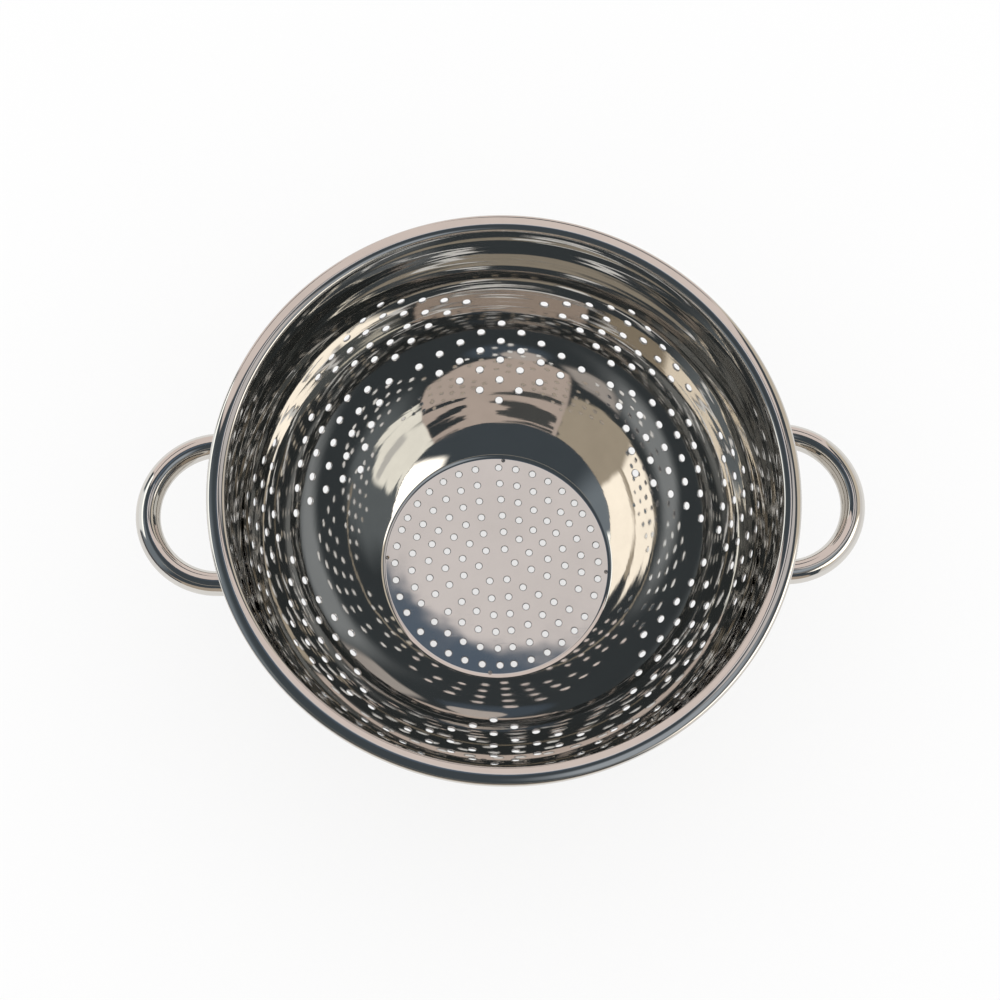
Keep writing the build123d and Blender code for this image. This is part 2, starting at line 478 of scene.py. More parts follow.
class BowlForm:
    """The bowl's line in section, worked out from its sizes."""

    def __init__(self, sizes):
        self.sheet = sizes.sheet
        self.rim_radius = sizes.rim_diameter / 2
        self.base_radius = sizes.base_diameter / 2
        self.base_top = sizes.base_height
        self.rim_top = sizes.base_height + sizes.depth
        self.neck_radius = self.rim_radius - sizes.neck_inset
        self.neck_height = self.rim_top - sizes.neck_drop
        self.lean = sizes.wall_lean
        cosine = math.cos(self.lean)
        sine = math.sin(self.lean)
        offset = self.neck_radius * cosine - (self.neck_height - self.base_top) * sine
        root = math.sqrt(offset**2 - cosine**2 * (offset**2 + (self.base_radius * sine) ** 2))
        self.wall_radius = (offset + root) / cosine**2
        self.centre_height = self.base_top + math.sqrt(self.wall_radius**2 - self.base_radius**2)
        self.base_edge_angle = -math.acos(self.base_radius / self.wall_radius)
        self.curve_length = self.wall_radius * (-self.lean - self.base_edge_angle)
        straight = Vector((self.neck_radius, self.neck_height)) - Vector(self.wall_point(-self.lean))
        self.wall_length = self.curve_length + straight.length

    def ring_offset(self, along):
        """How far the long rings push the wall in, at a length up it from the base's edge."""
        offset = 0.0
        for slope, wave, start in LONG_RINGS:
            offset += math.radians(slope) * wave / math.tau * math.cos(math.tau * along / wave + start)
        rim_start, rim_end = [self.wall_length - end for end in LONG_RINGS_END]
        return offset * fade(along, *RINGS_START) * (1 - fade(along, rim_start, rim_end))

    def wall_point(self, angle):
        radius = self.wall_radius * math.cos(angle)
        return radius, self.centre_height + self.wall_radius * math.sin(angle)

    def outside_radius(self, height):
        """The radius of the wall's outer face at a height."""
        straight_start = self.wall_point(-self.lean)
        grown = self.sheet / math.cos(self.lean)
        if height >= straight_start[1]:
            up = height - straight_start[1]
            ring = self.ring_offset(self.curve_length + up / math.cos(self.lean))
            return straight_start[0] + up * math.tan(self.lean) + grown - ring
        angle = math.asin((height - self.centre_height) / self.wall_radius)
        ring = self.ring_offset((angle - self.base_edge_angle) * self.wall_radius)
        return math.sqrt((self.wall_radius + self.sheet - ring) ** 2 - (height - self.centre_height) ** 2)

    def inner_line(self, corner):
        """The inner face's line: base, rounded corner, curved wall, straight wall, rolled rim."""
        line = [Vector((0, self.base_top, 0))]
        inset = corner * math.tan((math.pi / 2 + self.base_edge_angle) / 2)
        for step in range(1, BASE_STEPS):
            line.append(Vector(((self.base_radius - inset) * step / BASE_STEPS, self.base_top, 0)))
        wall_start = self.base_edge_angle + inset / self.wall_radius
        start = Vector((*self.wall_point(wall_start), 0))
        flat_end = Vector((self.base_radius - inset, self.base_top, 0))
        edge = Vector((self.base_radius, self.base_top, 0))
        line += corner_arc(flat_end + (flat_end - edge), edge, start + (start - edge), corner, CORNER_STEPS)
        for step in range(1, WALL_STEPS + 1):
            angle = wall_start + step / WALL_STEPS * (-self.lean - wall_start)
            inward = Vector((-math.cos(angle), -math.sin(angle), 0))
            ring = self.ring_offset((angle - self.base_edge_angle) * self.wall_radius)
            line.append(Vector((*self.wall_point(angle), 0)) + inward * ring)
        top = Vector((*self.wall_point(-self.lean), 0))
        neck = Vector((self.neck_radius, self.neck_height, 0))
        inward = Vector((-math.cos(self.lean), math.sin(self.lean), 0))
        for step in range(1, STRAIGHT_STEPS):
            place = top.lerp(neck, step / STRAIGHT_STEPS * STRAIGHT_SHARE)
            ring = self.ring_offset(self.curve_length + (place - top).length)
            line.append(place + inward * ring)
        return line + self.rim_line()

    def rim_line(self):
        """The rolled rim: a low inner step, a flat crest, a round bead and a lip turned under.

        Its points are millimetres out from the rim's edge and up from its top.
        """
        offsets = (
            (-9.35, -12.0), (-8.82, -5.0), (-8.74, -3.2), (-8.68, -1.9), (-8.5, -1.15), (-8.2, -0.8),
            (-7.7, -0.56), (-7.1, -0.38), (-6.4, -0.22), (-5.9, -0.12), (-5.55, -0.07), (-5.3, -0.05),
            (-4.7, -0.03), (-3.9, -0.06), (-3.1, -0.14), (-2.0, -0.34), (-1.2, -0.56), (-0.6, -0.88),
            (-0.18, -1.4), (0.0, -2.2), (0.0, -3.4), (-0.1, -4.9), (-0.5, -6.1), (-1.3, -7.0),
            (-2.3, -7.5), (-3.4, -7.35), (-4.3, -6.6),
        )
        millimetre = 0.001
        line = [Vector((self.rim_radius + x * millimetre, self.rim_top + y * millimetre, 0)) for x, y in offsets]
        return smooth_line(line, RIM_STEPS)[RIM_STEPS:]


def bowl_form():
    return BowlForm(bpy.context.scene.colander_bowl)


def punch_mesh(name, diameter, rounding):
    """A punch along Z whose shoulder rounds the hole's edge at height zero."""
    radius = diameter / 2
    levels = [(radius + out * rounding, up * rounding) for out, up in PUNCH_SHOULDER] + [(radius, PUNCH_LENGTH)]
    vertices, faces = revolve(levels, PUNCH_SIDES, closed=False)
    return new_piece(name, vertices, end_caps(len(levels), PUNCH_SIDES) + faces, [material("cut steel")])


def geometry_tree(name, sockets, values):
    """A new geometry tree with named inputs, sockets by kind and then plain values, and the tools to fill it."""
    tree = bpy.data.node_groups.new(name, "GeometryNodeTree")
    for label, kind in [*sockets.items(), *((value, "Float") for value in values)]:
        tree.interface.new_socket(label, in_out="INPUT", socket_type=f"NodeSocket{kind}")
    tree.interface.new_socket("Geometry", in_out="OUTPUT", socket_type="NodeSocketGeometry")
    source = tree.nodes.new("NodeGroupInput")
    return tree, Nodes(tree), source.outputs


def end_tree(nodes, geometry):
    nodes.add("NodeGroupOutput", {0: geometry})


def outward_instances(nodes, points, punch, outward):
    """Punches on points, each turned so that it points outward."""
    turn = nodes.add("FunctionNodeAlignRotationToVector", {"Vector": outward}, axis="Z")
    return nodes.add("GeometryNodeInstanceOnPoints", {"Points": points, "Instance": punch, "Rotation": turn})


GROUP_SIZES = ("Middle", "Rise", "Bend", "Bend Growth", "Step", "Step Growth")
BASE_SIZES = ("First Arc", "Arc Step", "Arc Spacing")


def diamond_group_tree():
    """Punches of one diamond group, whose rows bend upwards as they do on a drawn wall."""
    values = GROUP_SIZES + ("Turn", "Wall Radius", "Base Edge Angle", "Centre Height")
    tree, nodes, given = geometry_tree("Diamond group", {"Punch": "Geometry"}, values)
    sides = {f"Vertices {axis}": GROUP_SIDE for axis in "XY"} | {f"Size {axis}": GROUP_SIDE - 1.0 for axis in "XY"}
    grid = nodes.add("GeometryNodeMeshGrid", sides)
    place = nodes.add("GeometryNodeInputPosition")
    split = nodes.add("ShaderNodeSeparateXYZ", {0: place}).node
    row, column = split.outputs[0], split.outputs[1]
    down = nodes.plus(row, column)
    across = nodes.minus(row, column)
    bend = nodes.math("MULTIPLY_ADD", down, given["Bend Growth"], given["Bend"])
    bent = nodes.times(nodes.times(across, across), bend)
    climb = nodes.plus(nodes.minus(given["Middle"], nodes.times(down, given["Rise"])), bent)
    step = nodes.math("MULTIPLY_ADD", down, given["Step Growth"], given["Step"])
    bearing = nodes.math("MULTIPLY_ADD", across, step, given["Turn"])
    angle_up = nodes.plus(given["Base Edge Angle"], nodes.math("DIVIDE", climb, given["Wall Radius"]))
    level = nodes.math("COSINE", angle_up)
    outward = nodes.add("ShaderNodeCombineXYZ", {
        0: nodes.times(level, nodes.math("COSINE", bearing)),
        1: nodes.times(level, nodes.math("SINE", bearing)),
        2: nodes.math("SINE", angle_up),
    })
    centre = nodes.add("ShaderNodeCombineXYZ", {2: given["Centre Height"]})
    arm = nodes.vector_math("SCALE", {0: outward, "Scale": given["Wall Radius"]})
    position = nodes.vector_math("ADD", {0: arm, 1: centre})
    placed = nodes.add("GeometryNodeSetPosition", {"Geometry": grid, "Position": position})
    away = nodes.vector_math("SUBTRACT", {0: nodes.add("GeometryNodeInputPosition"), 1: centre})
    end_tree(nodes, outward_instances(nodes, placed, given["Punch"], away))
    return tree


def arc_tree():
    """Punches of one arc of the base: as many in each sector as the arc's number."""
    values = ("Per Sector", "Radius", "Spacing", "Turn", "Lean", "Height")
    tree, nodes, given = geometry_tree("Arc of base holes", {"Punch": "Geometry"}, values)
    total = nodes.times(given["Per Sector"], float(BASE_SECTORS))
    line = nodes.add("GeometryNodeMeshLine", {"Count": total})
    index = nodes.add("GeometryNodeInputIndex")
    sector = nodes.math("FLOOR", nodes.math("DIVIDE", nodes.plus(index, 0.5), given["Per Sector"]))
    hole = nodes.minus(index, nodes.times(sector, given["Per Sector"]))
    half = nodes.times(nodes.minus(given["Per Sector"], 1.0), 0.5)
    step = nodes.math("DIVIDE", given["Spacing"], given["Radius"])
    odd = nodes.math("MODULO", sector, 2.0)
    lean = nodes.times(given["Lean"], nodes.minus(1.0, nodes.times(odd, 2.0)))
    middle = nodes.plus(nodes.plus(nodes.times(sector, math.tau / BASE_SECTORS), given["Turn"]), lean)
    bearing = nodes.plus(middle, nodes.times(nodes.minus(hole, half), step))
    position = nodes.add("ShaderNodeCombineXYZ", {
        0: nodes.times(given["Radius"], nodes.math("COSINE", bearing)),
        1: nodes.times(given["Radius"], nodes.math("SINE", bearing)),
        2: given["Height"],
    })
    placed = nodes.add("GeometryNodeSetPosition", {"Geometry": line, "Position": position})
    end_tree(nodes, outward_instances(nodes, placed, given["Punch"], (0.0, 0.0, -1.0)))
    return tree


def perforation_sizes():
    """The labels of all sizes of the drain holes' pattern."""
    return [f"{kind} {size}" for kind in ("High", "Low") for size in GROUP_SIZES] + list(BASE_SIZES)


def perforation_tree(form):
    """Cuts every drain hole through the bowl's shell."""
    sockets = {"Shell": "Geometry", "Wall Punch": "Object", "Base Punch": "Object"}
    tree, nodes, given = geometry_tree("Perforation", sockets, perforation_sizes())
    wall_punch = nodes.add("GeometryNodeObjectInfo", {"Object": given["Wall Punch"]}, "Geometry")
    base_punch = nodes.add("GeometryNodeObjectInfo", {"Object": given["Base Punch"]}, "Geometry")
    group = diamond_group_tree()
    arc = arc_tree()
    punches = []
    kinds = (("High", HIGH_GROUP_SLIPS, HIGH_GROUP_TURN), ("Low", LOW_GROUP_SLIPS, LOW_GROUP_TURN))
    for kind, slips, turn in kinds:
        for number, slip in enumerate(slips):
            inputs = {size: given[f"{kind} {size}"] for size in GROUP_SIZES}
            inputs.update({
                "Punch": wall_punch,
                "Turn": math.radians(number * 360 / WALL_GROUPS + turn + slip),
                "Wall Radius": form.wall_radius,
                "Base Edge Angle": form.base_edge_angle,
                "Centre Height": form.centre_height,
            })
            punches.append(nodes.add("GeometryNodeGroup", inputs, node_tree=group))
    for number in range(BASE_ARCS):
        inputs = {
            "Punch": base_punch,
            "Per Sector": float(number + 1),
            "Radius": nodes.math("MULTIPLY_ADD", given["Arc Step"], float(number), given["First Arc"]),
            "Spacing": given["Arc Spacing"],
            "Turn": math.radians(BASE_TURN),
            "Lean": math.radians(BASE_LEAN),
            "Height": form.base_top,
        }
        punches.append(nodes.add("GeometryNodeGroup", inputs, node_tree=arc))
    joined = nodes.add("GeometryNodeJoinGeometry", {0: punches})
    cutters = nodes.add("GeometryNodeRealizeInstances", {0: joined})
    shell = {0: given["Shell"], 1: cutters}
    cut = nodes.add("GeometryNodeMeshBoolean", shell, operation="DIFFERENCE", solver="MANIFOLD")
    whole = nodes.add("GeometryNodeRealizeInstances", {0: cut})
    sheared = nodes.add("GeometryNodeMaterialSelection", {"Material": material("cut steel")})
    drawn = nodes.add("FunctionNodeBooleanMath", {0: sheared}, operation="NOT")
    finish = {"Geometry": whole, "Selection": drawn, "Material": material("bowl steel")}
    end_tree(nodes, nodes.add("GeometryNodeSetMaterial", finish))
    return tree


def set_input(modifier, label, value):
    """Sets a modifier's input by its socket's identifier."""
    for item in modifier.node_group.interface.items_tree:
        if item.item_type == "SOCKET" and item.in_out == "INPUT" and item.name == label:
            modifier[item.identifier] = value


def bake_modifiers(piece):
    """Turns the evaluated object into a plain mesh and drops its modifiers."""
    bpy.context.view_layer.update()
    evaluated = piece.evaluated_get(bpy.context.evaluated_depsgraph_get())
    mesh = bpy.data.meshes.new_from_object(evaluated)
    old = piece.data
    piece.modifiers.clear()
    piece.data = mesh
    bpy.data.meshes.remove(old)


def read_vectors(items, name):
    """A vector of every vertex or face of a mesh, as the rows of an array."""
    values = np.zeros(len(items) * 3, np.float32)
    items.foreach_get(name, values)
    return values.reshape(-1, 3).astype(float)


def nearest_on_line(places, line, normals):
    """How far each (radius, height) lies from a line, and the line's normal beside it."""
    gaps = np.full(len(places), np.inf)
    beside = np.zeros((len(places), 2))
    for start, end, normal, next_normal in zip(line[:-1], line[1:], normals[:-1], normals[1:]):
        span = end - start
        share = np.clip((places - start) @ span / max(span @ span, 1e-18), 0, 1)[:, None]
        gap = np.linalg.norm(places - start - share * span, axis=1)
        closer = gap < gaps
        gaps[closer] = gap[closer]
        beside[closer] = (normal * (1 - share) + next_normal * share)[closer]
    return gaps, beside


# A corner of a face is on the drawn skin when it lies this near to the bowl's line
# and the cosine between the two normals is over the second value
SKIN_GAP = 0.00012
SKIN_AGREEMENT = 0.93


def shade_from_line(mesh, inner, outer):
    """Gives the drawn faces the exact normals of the surface of revolution, whatever their triangles."""
    places = read_vectors(mesh.vertices, "co")
    corner_vertex = np.zeros(len(mesh.loops), np.int32)
    mesh.loops.foreach_get("vertex_index", corner_vertex)
    totals = np.zeros(len(mesh.polygons), np.int32)
    mesh.polygons.foreach_get("loop_total", totals)
    face_normal = np.repeat(read_vectors(mesh.polygons, "normal"), totals, axis=0)
    radius = np.hypot(places[:, 0], places[:, 1])
    level = places[:, :2] / np.maximum(radius, 1e-9)[:, None] * (radius > 1e-6)[:, None]
    result = face_normal.copy()
    skin = np.zeros(len(corner_vertex), bool)
    for line, sign in ((inner, 1), (outer, -1)):
        points = np.array([(p.x, p.y) for p in line])
        normals = sign * np.array([(n.x, n.y) for n in line_normals(line)])
        gap, normal = nearest_on_line(np.c_[radius, places[:, 2]], points, normals)
        full = np.c_[normal[:, :1] * level, normal[:, 1]]
        full /= np.maximum(np.linalg.norm(full, axis=1, keepdims=True), 1e-12)
        at_corner = full[corner_vertex]
        agrees = (at_corner * face_normal).sum(1) > SKIN_AGREEMENT
        use = (gap[corner_vertex] < SKIN_GAP) & agrees & ~skin
        result[use] = at_corner[use]
        skin |= use
    mesh.normals_split_custom_set([tuple(normal) for normal in result])


class OBJECT_OT_colander_bowl(bpy.types.Operator):
    """Build the drawn and perforated bowl with its rolled rim"""

    bl_idname = "object.colander_bowl"
    bl_label = "Bowl"

    def execute(self, context):
        sizes = context.scene.colander_bowl
        holes = context.scene.colander_holes
        form = bowl_form()
        inner = form.inner_line(sizes.base_corner)
        outer = [p - n * form.sheet for p, n in zip(inner, line_normals(inner))]
        outer[0] = Vector((0, form.base_top - form.sheet, 0))
        vertices, faces = revolve([(p.x, p.y) for p in inner + outer[::-1]], sizes.segments)
        shell = new_piece("bowl_shell", vertices, faces, [material("bowl steel"), material("cut steel")])
        punches = {
            "Wall Punch": punch_mesh("wall_punch", holes.wall_hole, holes.wall_rounding),
            "Base Punch": punch_mesh("base_punch", holes.base_hole, holes.base_rounding),
        }
        modifier = shell.modifiers.new("Perforation", "NODES")
        modifier.node_group = perforation_tree(form)
        for label in perforation_sizes():
            set_input(modifier, label, getattr(holes, label.lower().replace(" ", "_")))
        for label, punch in punches.items():
            set_input(modifier, label, punch)
        bake_modifiers(shell)
        mesh = shell.data
        if len(mesh.polygons) < 1000:
            raise RuntimeError("The bowl's perforation gave no mesh")
        for polygon in mesh.polygons:
            polygon.use_smooth = True
        for punch in punches.values():
            bpy.data.objects.remove(punch)
        shade_from_line(mesh, inner, outer)
        shell.name = "drawn_bowl"
        finish_piece(shell, "bowl_steel", "bowl")
        return {"FINISHED"}


def handle_path(form, sizes):
    """The right handle's centre line round its bend: points with the way ahead."""
    bend_centre = form.rim_radius + sizes.reach - sizes.tube / 2 - sizes.bend
    height = form.rim_top - sizes.drop
    path = []
    for step in range(BEND_STEPS + 1):
        turn = math.pi * step / BEND_STEPS - math.pi / 2
        place = Vector((bend_centre + sizes.bend * math.cos(turn), sizes.bend * math.sin(turn), height))
        path.append((place, Vector((-math.sin(turn), math.cos(turn), 0))))
    return path


def on_wall(form, place, gap):
    """The place moved along X to the wall's outside, a gap away from it."""
    reach = form.outside_radius(place.z) + gap
    return Vector((math.sqrt(reach**2 - place.y**2), place.y, place.z))


def tube_rings(form, sizes):
    """All rings of the right handle's tube, from one end coped to the wall to the other."""
    rings = []
    for centre, ahead in handle_path(form, sizes):
        side = Vector((-ahead.y, ahead.x, 0)) * (sizes.tube / 2)
        up = Vector((0, 0, sizes.tube / 2))
        turns = [math.tau * index / TUBE_SIDES for index in range(TUBE_SIDES)]
        rings.append([centre + side * math.cos(turn) + up * math.sin(turn) for turn in turns])
    coped = [[on_wall(form, place, TUBE_GAP) for place in ring] for ring in (rings[0], rings[-1])]
    return [coped[0]] + rings + [coped[1]]


def make_pair(label, vertices, faces, finish, slot, node, flat_ends=False):
    """Makes the right piece, and the left one half a turn round the bowl's axis."""
    for side, turned in (("right", 1), ("left", -1)):
        places = [(turned * v.x, turned * v.y, v.z) for v in vertices]
        piece = new_piece(f"{side}_{label}", places, faces, [material(finish)])
        for polygon in piece.data.polygons:
            polygon.use_smooth = not flat_ends or len(polygon.vertices) == 4
        finish_piece(piece, slot, f"{side}_{node}")


class OBJECT_OT_colander_handles(bpy.types.Operator):
    """Build the two bent tube handles"""

    bl_idname = "object.colander_handles"
    bl_label = "Handles"

    def execute(self, context):
        rings = tube_rings(bowl_form(), context.scene.colander_handles)
        vertices = [vertex for ring in rings for vertex in ring]
        faces = strip_faces(len(rings), TUBE_SIDES) + end_caps(len(rings), TUBE_SIDES)
        make_pair("tube_handle", vertices, faces, "handle steel", "handle_steel", "handle", flat_ends=True)
        return {"FINISHED"}


class OBJECT_OT_colander_welds(bpy.types.Operator):
    """Build the weld beads where the handles meet the wall"""

    bl_idname = "object.colander_welds"
    bl_label = "Handle welds"

    def execute(self, context):
        sizes = context.scene.colander_handles
        form = bowl_form()
        path = handle_path(form, sizes)
        vertices = []
        faces = []
        for centre, _ in (path[0], path[-1]):
            start = len(vertices)
            for index in range(BEAD_STEPS):
                vertices += self.section(form, sizes, centre, math.tau * index / BEAD_STEPS)
            section_size = (len(vertices) - start) // BEAD_STEPS
            faces += strip_faces(BEAD_STEPS, section_size, start, closed=True)
        make_pair("weld_beads", vertices, faces, "weld steel", "weld_steel", "handle_welds")
        return {"FINISHED"}

    def section(self, form, sizes, centre, turn, profile=7):
        """The bead's hollow section at a turn round the tube, from the wall to the tube and back behind."""
        radius = sizes.tube / 2
        ripple = 0.5 + 0.5 * math.cos(turn * RIPPLES + 0.8 * math.sin(turn * 3))
        bead = sizes.bead * (1 + 0.10 * math.sin(turn * 2 + 1.0) + 0.06 * math.sin(turn * 5))
        across = Vector((0, math.cos(turn), math.sin(turn)))
        places = []
        for step in range(profile):
            quarter = math.pi / 2 * step / (profile - 1)
            lift = RIPPLE_HEIGHT * ripple * math.sin(2 * quarter)
            out = radius - BEAD_LAP + bead * (1 - math.sin(quarter)) + lift
            rise = bead * (1 - math.cos(quarter)) + lift
            places.append(on_wall(form, centre + across * out, rise + BEAD_GAP))
        return places + [on_wall(form, centre + across * (radius - BEAD_DEPTH), BEAD_GAP)]


class OBJECT_OT_colander_foot(bpy.types.Operator):
    """Build the flared foot ring with its flange and hem"""

    bl_idname = "object.colander_foot"
    bl_label = "Foot ring"

    def execute(self, context):
        sizes = context.scene.colander_foot
        base_radius = context.scene.colander_bowl.base_diameter / 2
        flange = base_radius - sizes.flange_inset
        outer = flange + sizes.flare
        line = rounded([
            Vector((flange - sizes.flange_width, sizes.height, 0)),
            Vector((flange, sizes.height, 0)),
            Vector((outer, 0, 0)),
            Vector((outer - sizes.hem, 0, 0)),
        ], sizes.corner, CORNER_STEPS)
        inside = [p - n * sizes.sheet for p, n in zip(line, line_normals(line))]
        loop = [(p.x, p.y) for p in line + inside[::-1]]
        vertices, faces = revolve(loop, FOOT_SEGMENTS)
        piece = new_piece("flared_foot_ring", vertices, faces, [material("foot steel")])
        mark_sharp(piece, math.radians(50))
        finish_piece(piece, "foot_steel", "foot_ring")
        return {"FINISHED"}


def mark_sharp(piece, angle):
    """Marks the edges of a piece that are sharper than an angle."""
    tidy = bmesh.new()
    tidy.from_mesh(piece.data)
    for edge in tidy.edges:
        if len(edge.link_faces) == 2:
            edge.smooth = edge.calc_face_angle() < angle
    tidy.to_mesh(piece.data)
    tidy.free()


class OBJECT_OT_colander_spot_welds(bpy.types.Operator):
    """Build the four spot welds of the foot, seen inside the bowl"""

    bl_idname = "object.colander_spot_welds"
    bl_label = "Spot welds"

    def execute(self, context):
        sizes = context.scene.colander_foot
        bowl = context.scene.colander_bowl
        ring_radius = bowl.base_diameter / 2 - SPOT_INSET - sizes.spot / 2
        section = [(share * sizes.spot / 2, rise * sizes.spot_height) for share, rise in SPOT_SECTION]
        nugget, _ = revolve(section, SPOT_SIDES, closed=False)
        vertices = []
        faces = []
        for degrees in SPOT_BEARINGS:
            bearing = math.radians(degrees)
            centre = Vector((ring_radius * math.cos(bearing), ring_radius * math.sin(bearing), bowl.base_height))
            faces += strip_faces(len(section), SPOT_SIDES, len(vertices))
            faces += end_caps(len(section), SPOT_SIDES, len(vertices))
            vertices += [centre + Vector(place) for place in nugget]
        piece = new_piece("spot_weld_nuggets", vertices, faces, [material("weld steel")])
        finish_piece(piece, "weld_steel", "foot_spot_welds")
        return {"FINISHED"}


# The stage


def direction(azimuth, zenith):
    """A unit direction from degrees round from +X and degrees down from straight up."""
    turn = math.radians(azimuth)
    drop = math.radians(zenith)
    return Vector((math.sin(drop) * math.cos(turn), math.sin(drop) * math.sin(turn), math.cos(drop)))


# The studio's cards and walls: corners as (azimuth, zenith) in degrees, going round, then the edge's softness
# and the light's colour. A card is the sky on the inner side of every great circle through two neighbouring
# corners, so its outline has no hollow. A card further down covers those before it.
STUDIO_CARDS = {
    "near floor": (
        ((205, 58), (205, 92), (240, 92), (270, 92), (300, 92), (300, 58), (270, 57)), 0.03, (0.50, 0.43, 0.36)),
    "left wall": (
        ((150, 28), (146, 80), (190, 80), (212, 75), (205, 34), (180, 26)), 0.14, (0.22, 0.26, 0.30)),
    "left window": (
        ((127, 56), (137, 47), (147, 44), (158, 43.5), (168, 45), (178, 50), (178, 62), (161, 66), (136, 62)),
        0.03, (1.70, 1.74, 1.70)),
    "low window": (
        ((150, 57), (150, 90), (163, 90), (176, 90), (176, 57), (163, 56)), 0.03, (1.05, 1.08, 1.10)),
    "left low": (
        ((176, 74), (176, 93), (190, 93), (230, 93), (230, 74), (190, 74)), 0.02, (0.12, 0.12, 0.13)),
    "far wall": (
        ((50, 23), (53, 92), (95, 92), (138, 92), (137, 33.9)), 0.012, (0.90, 0.79, 0.76)),
    "far lens": (
        ((98, 58.5), (90, 54), (82, 50.5), (72, 49), (62, 48.5), (55, 49), (55.5, 54), (62, 57), (75, 59), (88, 60)),
        0.008, (0.13, 0.14, 0.15)),
    "far wedge": (
        ((110, 57), (118, 52.5), (128, 51), (137, 50.5), (137, 55), (126, 58.5), (117, 61), (112, 60)),
        0.008, (0.068, 0.084, 0.100)),
    "right wall": (
        ((-17, 41), (-47, 61), (-52, 92), (0, 92), (53, 92), (53, 56), (50, 47), (43, 40), (31, 36), (7, 36)),
        0.015, (0.72, 0.65, 0.55)),
    "right wall low": (
        ((-50, 73), (-54, 93), (0, 93), (53, 93), (52, 73), (0, 63)), 0.02, (0.86, 0.85, 0.85)),
    "right softbox": (
        ((-57, 47), (-48, 51.5), (-37, 56), (-22, 60), (8, 60), (8, 38)), 0.03, (2.25, 2.15, 2.0)),
    "overhead glow": (
        ((-75, 14), (-60, 32), (-20, 30), (15, 27), (5, 13), (-30, 8)), 0.10, (0.42, 0.47, 0.53)),
    "right shelf": (
        ((8, 14), (40, 14.5), (52, 17), (48, 25), (42, 29), (18, 29)), 0.03, (0.70, 0.67, 0.68)),
}

# Round patches of light: middle as (azimuth, zenith), radius and edge in degrees, colour
BLUE_CEILING = ((92.0, 12.5), 7.0, 2.0, (0.115, 0.155, 0.215))
OVERHEAD_CARD = ((80.1, 16.3), 4.5, 0.2, (0.87, 0.82, 0.83))

# A line of light on the near side: its upper and lower zenith in degrees, the softness of its edges, its colour,
# and how far the sky has to face its bearing for it to show
NEAR_LINE = (34.6, 37.3)
NEAR_LINE_EDGE = 0.002
NEAR_LINE_COLOUR = (0.50, 0.46, 0.40)
NEAR_BEARING = 265
NEAR_SIDE = (0.16, 0.22)

# The sky between the cards, dark above the horizon's heights and pale below, and the soft light on matt things
HORIZON = (0.03, 0.09)
DARK_SKY = (0.068, 0.084, 0.100)
PALE_SKY = (0.93, 0.93, 0.93)
SOFT_LIGHT = (1.06, 1.06, 1.06)

# How far the floor reaches, in metres, and the share of it that is plain white where it is seen
FLOOR_REACH = 6.0
FLOOR_GLOW = 0.7

# The camera looks at the middle of the rim, from a distance in metres and a direction in degrees.
# Its focal length and its shifts are shares of the picture's width.
RIM_HEIGHT = 0.162
CAMERA_DISTANCE = 0.840
CAMERA_AZIMUTH = -97.71
CAMERA_ZENITH = 16.97
CAMERA_ROLL = 6.33
FOCAL_LENGTH = 1.7903
CAMERA_SHIFTS = (-0.00557, -0.01411)
SENSOR_WIDTH = 36.0


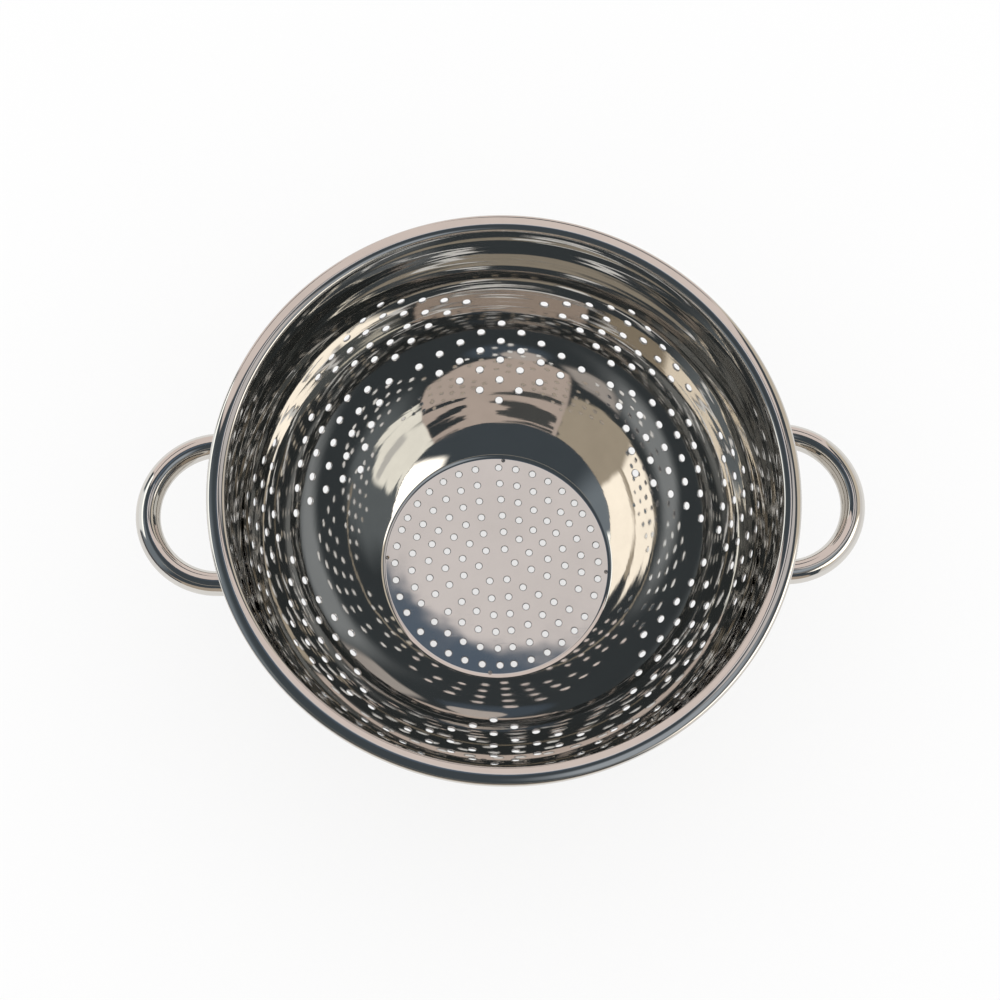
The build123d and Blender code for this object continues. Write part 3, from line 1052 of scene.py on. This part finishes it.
class SCENE_OT_colander_stage(bpy.types.Operator):
    """Build the floor, the studio light and the camera"""

    bl_idname = "scene.colander_stage"
    bl_label = "Stage"

    def execute(self, context):
        self.make_floor()
        self.make_world(context)
        self.make_camera(context)
        context.scene.view_settings.view_transform = "Standard"
        return {"FINISHED"}

    def make_floor(self):
        mesh = bpy.data.meshes.new("floor")
        ends = (-FLOOR_REACH, FLOOR_REACH)
        mesh.from_pydata([(x, y, 0) for y in ends for x in ends], [], [(0, 1, 3, 2)])
        floor = bpy.data.objects.new("floor", mesh)
        bpy.context.collection.objects.link(floor)
        made, nodes = new_material("pale floor")
        grain = nodes.noise(nodes.add("ShaderNodeTexCoord", output=3), 9.0, 3.0)
        tone = nodes.mix(grain, rgba([channel * 0.99 for channel in look().floor]), rgba(look().floor))
        plain = nodes.add("ShaderNodeBsdfDiffuse", {"Color": tone})
        glow = nodes.add("ShaderNodeEmission", {"Color": (1.0, 1.0, 1.0, 1.0), "Strength": 1.0})
        share = nodes.times(nodes.seen(), FLOOR_GLOW)
        end_material(nodes, nodes.add("ShaderNodeMixShader", {0: share, 1: plain, 2: glow}))
        mesh.materials.append(made)

    def make_world(self, context):
        world = bpy.data.worlds.new("studio")
        context.scene.world = world
        world.use_nodes = True
        world.node_tree.nodes.clear()
        nodes = Nodes(world.node_tree)
        way = nodes.add("ShaderNodeTexCoord", output=0)
        height = nodes.add("ShaderNodeSeparateXYZ", {0: way}).node.outputs[2]
        light = nodes.mix(nodes.smooth_step(height, *HORIZON, 1.0, 0.0), rgba(DARK_SKY), rgba(PALE_SKY))
        light = self.add_round(nodes, way, light, BLUE_CEILING)
        for outline, softness, colour_value in STUDIO_CARDS.values():
            light = nodes.mix(self.card_mask(nodes, way, outline, softness), light, rgba(colour_value))
        nearness = nodes.dot(way, direction(NEAR_BEARING, 90))
        near = nodes.smooth_step(nearness, *NEAR_SIDE)
        top, bottom = [math.cos(math.radians(zenith)) for zenith in NEAR_LINE]
        under = nodes.smooth_step(height, top - NEAR_LINE_EDGE, top + NEAR_LINE_EDGE, 1.0, 0.0)
        over = nodes.smooth_step(height, bottom - NEAR_LINE_EDGE, bottom + NEAR_LINE_EDGE)
        light = nodes.mix(nodes.times(near, nodes.times(under, over)), light, rgba(NEAR_LINE_COLOUR))
        light = self.add_round(nodes, way, light, OVERHEAD_CARD)
        shown = nodes.mix(nodes.seen(), rgba(SOFT_LIGHT), light)
        back = nodes.add("ShaderNodeBackground", {"Color": shown, "Strength": 1.0})
        nodes.add("ShaderNodeOutputWorld", {"Surface": back})

    def card_mask(self, nodes, way, outline, softness):
        """1 inside a card and 0 outside: the product over the great circles of its edges."""
        ways = [direction(azimuth, zenith) for azimuth, zenith in outline]
        middle = sum(ways, Vector()).normalized()
        mask = None
        for start, end in zip(ways, ways[1:] + ways[:1]):
            side = start.cross(end).normalized()
            if side.dot(middle) < 0:
                side = -side
            reach = nodes.dot(way, side)
            inside = nodes.smooth_step(reach, -softness, softness)
            mask = inside if mask is None else nodes.times(mask, inside)
        return mask

    def add_round(self, nodes, way, light, patch):
        """The light with a round patch over it."""
        (azimuth, zenith), radius, edge, colour_value = patch
        reach = nodes.dot(way, direction(azimuth, zenith))
        outside, inside = math.cos(math.radians(radius + edge)), math.cos(math.radians(radius - edge))
        return nodes.mix(nodes.smooth_step(reach, outside, inside), light, rgba(colour_value))

    def make_camera(self, context):
        away = direction(CAMERA_AZIMUTH, CAMERA_ZENITH)
        right = direction(CAMERA_AZIMUTH + 90, 90)
        up = away.cross(right)
        roll = math.radians(CAMERA_ROLL)
        picture_right = right * math.cos(roll) + up * math.sin(roll)
        picture_up = up * math.cos(roll) - right * math.sin(roll)
        view = Matrix((picture_right, picture_up, away)).transposed().to_4x4()
        view.translation = Vector((0, 0, RIM_HEIGHT)) + away * CAMERA_DISTANCE
        lens = bpy.data.cameras.new("camera")
        lens.sensor_fit = "HORIZONTAL"
        lens.sensor_width = SENSOR_WIDTH
        lens.lens = FOCAL_LENGTH * SENSOR_WIDTH
        lens.shift_x, lens.shift_y = CAMERA_SHIFTS
        lens.clip_start = 0.01
        camera = bpy.data.objects.new("camera", lens)
        camera.matrix_world = view
        bpy.context.collection.objects.link(camera)
        context.scene.camera = camera


class VIEW3D_PT_colander(bpy.types.Panel):
    """The colander's pieces and sizes"""

    bl_label = "Steel colander"
    bl_idname = "VIEW3D_PT_colander"
    bl_space_type = "VIEW_3D"
    bl_region_type = "UI"
    bl_category = "Colander"

    def draw(self, context):
        for operator in OPERATORS:
            self.layout.operator(operator.bl_idname)
        for name in GROUPS:
            group = getattr(context.scene, name)
            for key in group.__annotations__:
                self.layout.prop(group, key)


OPERATORS = (
    OBJECT_OT_colander_bowl,
    OBJECT_OT_colander_handles,
    OBJECT_OT_colander_welds,
    OBJECT_OT_colander_foot,
    OBJECT_OT_colander_spot_welds,
    SCENE_OT_colander_stage,
)
GROUPS = {
    "colander_bowl": ColanderBowlSizes,
    "colander_holes": ColanderHoleSizes,
    "colander_handles": ColanderHandleSizes,
    "colander_foot": ColanderFootSizes,
    "colander_look": ColanderLook,
}


def register():
    for group in GROUPS.values():
        bpy.utils.register_class(group)
    for name, group in GROUPS.items():
        setattr(bpy.types.Scene, name, PointerProperty(type=group))
    for operator in OPERATORS:
        bpy.utils.register_class(operator)
    bpy.utils.register_class(VIEW3D_PT_colander)


def unregister():
    bpy.utils.unregister_class(VIEW3D_PT_colander)
    for operator in reversed(OPERATORS):
        bpy.utils.unregister_class(operator)
    for name in GROUPS:
        delattr(bpy.types.Scene, name)
    for group in reversed(list(GROUPS.values())):
        bpy.utils.unregister_class(group)


def main():
    register()
    bpy.ops.object.colander_bowl()
    bpy.ops.object.colander_handles()
    bpy.ops.object.colander_welds()
    bpy.ops.object.colander_foot()
    bpy.ops.object.colander_spot_welds()
    bpy.ops.scene.colander_stage()


if __name__ == "__main__":
    main()
